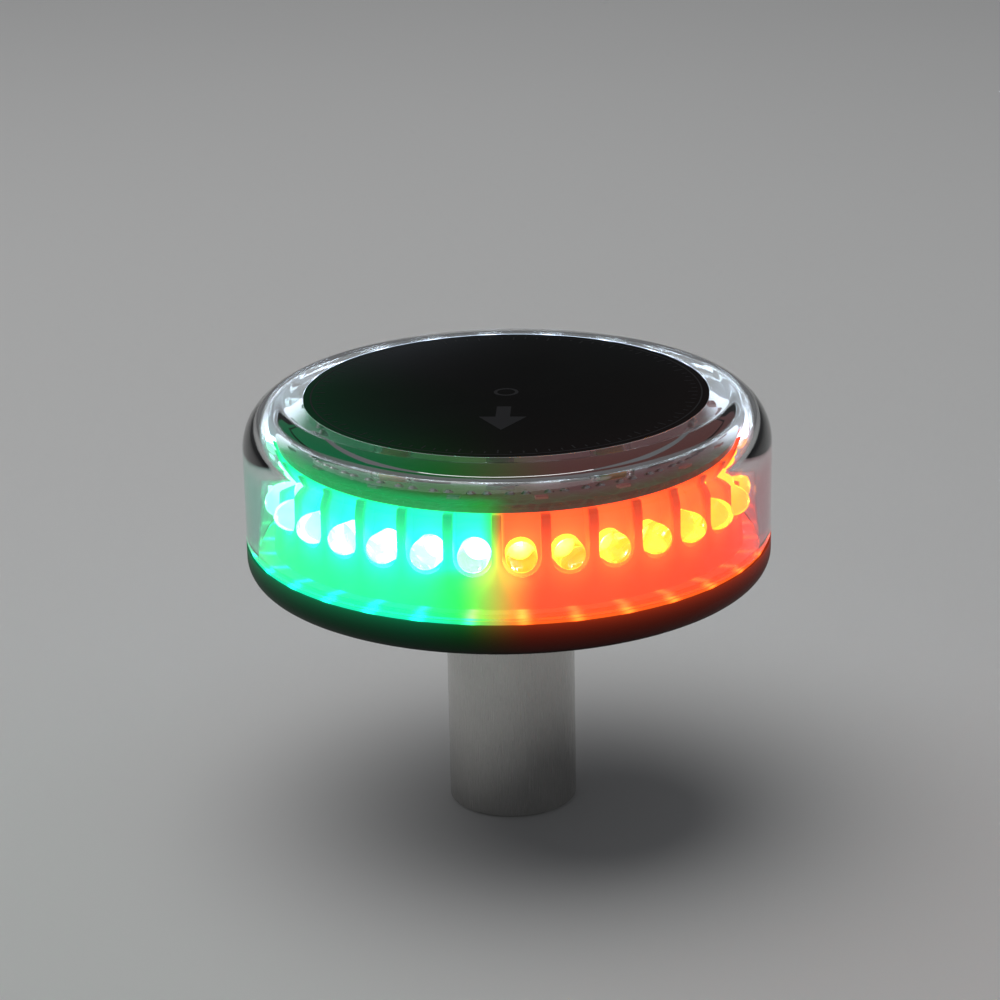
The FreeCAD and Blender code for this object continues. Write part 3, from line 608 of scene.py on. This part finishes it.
def cover_posts():
    """A mesh of the four posts under the cover's top, each with an insert's hole."""
    root = COVER_TOP - COVER_WALL + POST_ROOT
    deep = POST_END + POST_HOLE_DEPTH
    profile = [
        (0, root), (POST_RADIUS, root), (POST_RADIUS, POST_END),
        (POST_HOLE, POST_END), (POST_HOLE, deep), (0, deep),
    ]
    mesh = bmesh.new()
    for index in range(POSTS):
        angle = math.tau * (index + 0.5) / POSTS
        across = Vector((math.cos(angle), math.sin(angle), 0)) * POST_CIRCLE * MM
        turn(mesh, profile, POST_SEGMENTS, at_joint() @ Matrix.Translation(across))
    bmesh.ops.recalc_face_normals(mesh, faces=mesh.faces)
    posts = bpy.data.meshes.new("posts")
    mesh.to_mesh(posts)
    mesh.free()
    return posts


def make_cover(material):
    """The clear shell, turned from its section, with the posts joined to it."""
    wall = COVER_RADIUS - COVER_WALL
    ceiling = COVER_TOP - COVER_WALL
    profile = [(wall, 0), (COVER_RADIUS - FOOT_ROUND, 0)]
    profile += arc(COVER_RADIUS - FOOT_ROUND, FOOT_ROUND, FOOT_ROUND, -90, 0, 4)[1:]
    profile += arc(COVER_RADIUS - SHOULDER, COVER_TOP - SHOULDER, SHOULDER, 0, 90, 36)
    seat = COVER_TOP - LABEL_THICK
    profile += [(RECESS_RADIUS, COVER_TOP), (RECESS_RADIUS, seat), (0, seat)]
    inside = [(0, ceiling)]
    inside += arc(wall - INNER_ROUND, ceiling - INNER_ROUND, INNER_ROUND, 90, 0, 24)
    mesh = bmesh.new()
    turn(mesh, profile + inside, SEGMENTS, at_joint())
    cover = piece("clear_cover", mesh, material, nodes=["lens_cover"])
    tool = bpy.data.objects.new("posts", cover_posts())
    bpy.context.scene.collection.objects.link(tool)
    union = cover.modifiers.new("posts", "BOOLEAN")
    union.operation = "UNION"
    union.object = tool
    bpy.context.view_layer.update()
    finished = cover.evaluated_get(bpy.context.evaluated_depsgraph_get())
    joined = bpy.data.meshes.new_from_object(finished)
    cover.modifiers.clear()
    cover.data = joined
    joined.shade_smooth()
    joined.set_sharp_from_angle(angle=math.radians(SHARP))
    bpy.data.objects.remove(tool)


def arrow_outline():
    """A generic arrow that points at the bow."""
    tip, shoulder, tail = -20.5, -13.5, -8.0
    head, shaft = 4.0, 1.2
    port = [(shaft, tail), (shaft, shoulder), (head, shoulder)]
    starboard = [(-x, y) for x, y in reversed(port)]
    return [(0, tip)] + starboard + port


def make_label(film, ink):
    """The film in the cover's recess, bonded to it, and the generic marks on the film."""
    low = COVER_TOP - LABEL_THICK - BOND
    top = COVER_TOP - LABEL_SINK
    high = COVER_TOP - MARK_SINK
    mesh = bmesh.new()
    turn(mesh, [
        (0, low), (LABEL_RADIUS, low), (LABEL_RADIUS, top - LABEL_BEVEL),
        (LABEL_RADIUS - LABEL_BEVEL, top), (0, top),
    ], SEGMENTS, at_joint())
    piece("label_film", mesh, film, nodes=["top_label"])
    mesh = bmesh.new()
    for inner, outer in (EDGE_RING, CENTRE_RING):
        section = [(inner, top), (outer, top), (outer, high), (inner, high)]
        turn(mesh, section, MARK_SEGMENTS, at_joint())
    for index in range(TICKS):
        length = TICK_LENGTH if index % LONG_TICK_EVERY else LONG_TICK_LENGTH
        place = at_joint() @ Matrix.Rotation(math.tau * index / TICKS, 4, "Z")
        inner_corner = (TICK_END - length, -TICK_HALF_WIDTH, top)
        block(mesh, inner_corner, (TICK_END, TICK_HALF_WIDTH, high), place)
    slab(mesh, arrow_outline(), top, high, at_joint())
    piece("label_marks", mesh, ink)


# ---------------------------------------------------------------- LEDs

def lens_profile():
    """Section of a round LED's epoxy: a flange, a barrel and a dome."""
    step = LED_BACK + FLANGE_THICK
    dome = LED_TIP - LENS_RADIUS
    flange = [
        (0, LED_BACK), (FLANGE_RADIUS - LENS_FILLET, LED_BACK),
        (FLANGE_RADIUS, LED_BACK + LENS_FILLET), (FLANGE_RADIUS, step - FLANGE_BEVEL),
        (FLANGE_RADIUS - FLANGE_BEVEL, step),
    ]
    barrel = [
        (LENS_RADIUS + LENS_FILLET, step), (LENS_RADIUS, step + LENS_FILLET), (LENS_RADIUS, dome),
    ]
    return flange + barrel + arc(0, dome, LENS_RADIUS, 0, 90, 14)[1:-1] + [(0, LED_TIP)]


def cup_profile():
    """Section of the reflector cup that holds the die."""
    foot = DIE_SEAT - CUP_BASE
    lip = DIE_SEAT + CUP_RISE
    return [
        (0, foot), (CUP_RADIUS - CUP_DRAFT, foot), (CUP_RADIUS, lip),
        (CUP_RADIUS - CUP_WALL, lip), (CUP_FLOOR, DIE_SEAT), (0, DIE_SEAT),
    ]


def make_leds(name, first, count, epoxy, cup, die):
    """Clear LEDs with the cup, die and legs that show through their domes."""
    lenses = bmesh.new()
    cups = bmesh.new()
    dies = bmesh.new()
    for place in led_places(first, count):
        turn(lenses, lens_profile(), LENS_SEGMENTS, place)
        turn(cups, cup_profile(), CUP_SEGMENTS, place)
        for (near, far), end in ((CUP_LEG, CUP_LEG_END), (WIRE_LEG, WIRE_LEG_END)):
            block(cups, (-LEG_HALF, near, LEG_BACK), (LEG_HALF, far, end), place)
        die_low = (-DIE_HALF, -DIE_HALF, DIE_SEAT + DIE_GAP)
        block(dies, die_low, (DIE_HALF, DIE_HALF, DIE_SEAT + DIE_THICK), place)
    piece(name + "_led_lenses", lenses, epoxy, nodes=[name + "_leds"])
    piece(name + "_led_cups", cups, cup)
    piece(name + "_led_dies", dies, die)


# ---------------------------------------------------------------- the light

STEEL = (0.62, 0.61, 0.59)
finishes = {
    "led_leads": lit_wire(),
    "solder_joints": metal("solder", (0.66, 0.67, 0.68), 0.25),
    "board_screws": metal("plated_steel", (0.55, 0.56, 0.58), 0.3),
    "cover_screws": metal("stainless", STEEL, 0.25),
    "set_screws": metal("stainless_dark", (0.45, 0.45, 0.44), 0.3),
    "cover_inserts": metal("insert_brass", (0.78, 0.57, 0.24), 0.3),
    "collar_inserts": metal("collar_brass", (0.72, 0.52, 0.22), 0.32),
    "stem_tube": metal("stainless_tube", STEEL, 0.26, (1.0, 1.0, 0.03), 0.12),
    "led_resistors": lit_chip(),
    "driver_chips": plastic("chip_body", (0.015, 0.015, 0.017), 0.5),
    "protection_diode": plastic("diode_body", (0.018, 0.018, 0.018), 0.45),
    "power_inductors": plastic("ferrite", (0.05, 0.052, 0.055), 0.6, 0.25, 0.35, 0.08),
    "filter_capacitors": plastic("capacitor_sleeve", (0.02, 0.025, 0.05), 0.3, 0.1, 0.5, 0.01),
    "terminal_block": plastic("terminal_green", (0.02, 0.16, 0.06), 0.4),
    "terminal_screws": metal("terminal_steel", (0.58, 0.58, 0.57), 0.32),
    "screw_seals": plastic("washer_rubber", (0.02, 0.02, 0.02), 0.6),
    "stem_o_ring": plastic("ring_rubber", (0.012, 0.012, 0.012), 0.5),
    "cable_grommet": plastic("grommet_rubber", (0.02, 0.02, 0.021), 0.6),
    "cover_seal": lit_seal(),
    "led_carrier": lit_drum(),
    "circuit_board": solder_mask(),
    "base_housing": lit_base(),
}
for node_name, finish in finishes.items():
    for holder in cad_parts[node_name].material_slots:
        holder.material = finish

make_cover(clear_plastic())
make_label(label_film(), plastic("label_ink", (0.007, 0.007, 0.0075), 0.5, 0.2))
half_step = LED_STEP / 2
make_leds("green", half_step - SECTOR_EDGE, SIDE_LEDS,
          led_epoxy("led_green", (0.9, 1.0, 0.96), (0.55, 0.85, 0.78), 0.8),
          glowing("cup_green", (0.35, 1.0, 0.75), 4.5),
          glowing("die_green", (0.8, 1.0, 0.95), 40.0))
make_leds("red", half_step, SIDE_LEDS,
          led_epoxy("led_red", (1.0, 0.94, 0.88), (1.0, 0.52, 0.015), 0.9),
          glowing("cup_red", (1.0, 0.4, 0.02), 3.0),
          glowing("die_red", (1.0, 0.8, 0.12), 40.0))
make_leds("white", half_step + SECTOR_EDGE, STERN_LEDS,
          led_epoxy("led_white", (0.97, 0.98, 1.0), (0.75, 0.87, 1.0), 7.0),
          glowing("cup_white", (0.7, 0.85, 1.0), 8.0),
          glowing("die_white", (0.9, 0.96, 1.0), 80.0))


# ---------------------------------------------------------------- floor, light and camera

# From here on, lengths are metres.
FLOOR_REACH = 30.0
VIEW_REACH = 20.0


def make_floor():
    """A plain pale floor that reaches past what the camera draws."""
    mesh = bmesh.new()
    bmesh.ops.create_grid(mesh, x_segments=1, y_segments=1, size=FLOOR_REACH)
    data = bpy.data.meshes.new("floor")
    mesh.to_mesh(data)
    mesh.free()
    graph = Graph("floor")
    graph.surface(
        Base_Color=graph.blend(graph.noise(300.0), (0.74, 0.74, 0.73), (0.77, 0.77, 0.76)),
        Roughness=0.7,
    )
    data.materials.append(graph.material)
    floor = bpy.data.objects.new("floor", data)
    bpy.context.scene.collection.objects.link(floor)


def make_softbox(name, place, target, size, power):
    """A round lamp that lights the scene but shows no mirror image of itself."""
    data = bpy.data.lights.new(name, "AREA")
    data.shape = "DISK"
    data.size = size
    data.energy = power
    lamp = bpy.data.objects.new(name, data)
    lamp.location = place
    lamp.visible_glossy = False
    lamp.rotation_euler = (Vector(target) - Vector(place)).to_track_quat("-Z", "Y").to_euler()
    bpy.context.scene.collection.objects.link(lamp)


def make_world(strength):
    world = bpy.data.worlds.new("studio")
    world.use_nodes = True
    background = world.node_tree.nodes["Background"]
    background.inputs["Color"].default_value = (0.93, 0.95, 1.0, 1.0)
    background.inputs["Strength"].default_value = strength
    bpy.context.scene.world = world


def make_camera():
    """The photograph's viewpoint: a long lens, about 20 degrees above the joint's plane."""
    target = Vector((0, 0, JOINT * MM))
    elevation = math.radians(19.946)
    azimuth = math.radians(2.75)
    distance = 0.5516
    level = distance * math.cos(elevation)
    rise = distance * math.sin(elevation)
    offset = Vector((level * math.sin(azimuth), -level * math.cos(azimuth), rise))
    data = bpy.data.cameras.new("camera")
    data.sensor_width = 36.0
    data.lens = 115.43
    data.shift_x = -0.00863
    data.shift_y = 0.0261
    data.clip_start = 0.02
    data.clip_end = VIEW_REACH
    camera = bpy.data.objects.new("camera", data)
    camera.location = target + offset
    roll = Quaternion((0, 0, 1), math.radians(-1.057))
    camera.rotation_mode = "QUATERNION"
    camera.rotation_quaternion = (-offset).to_track_quat("-Z", "Y") @ roll
    bpy.context.scene.collection.objects.link(camera)
    bpy.context.scene.camera = camera


make_floor()
make_softbox("overhead", place=(-0.25, 0.15, 1.0), target=(0, 0, 0), size=1.3, power=5.6)
make_world(strength=0.13)
make_camera()
bpy.context.scene.view_settings.view_transform = "Standard"
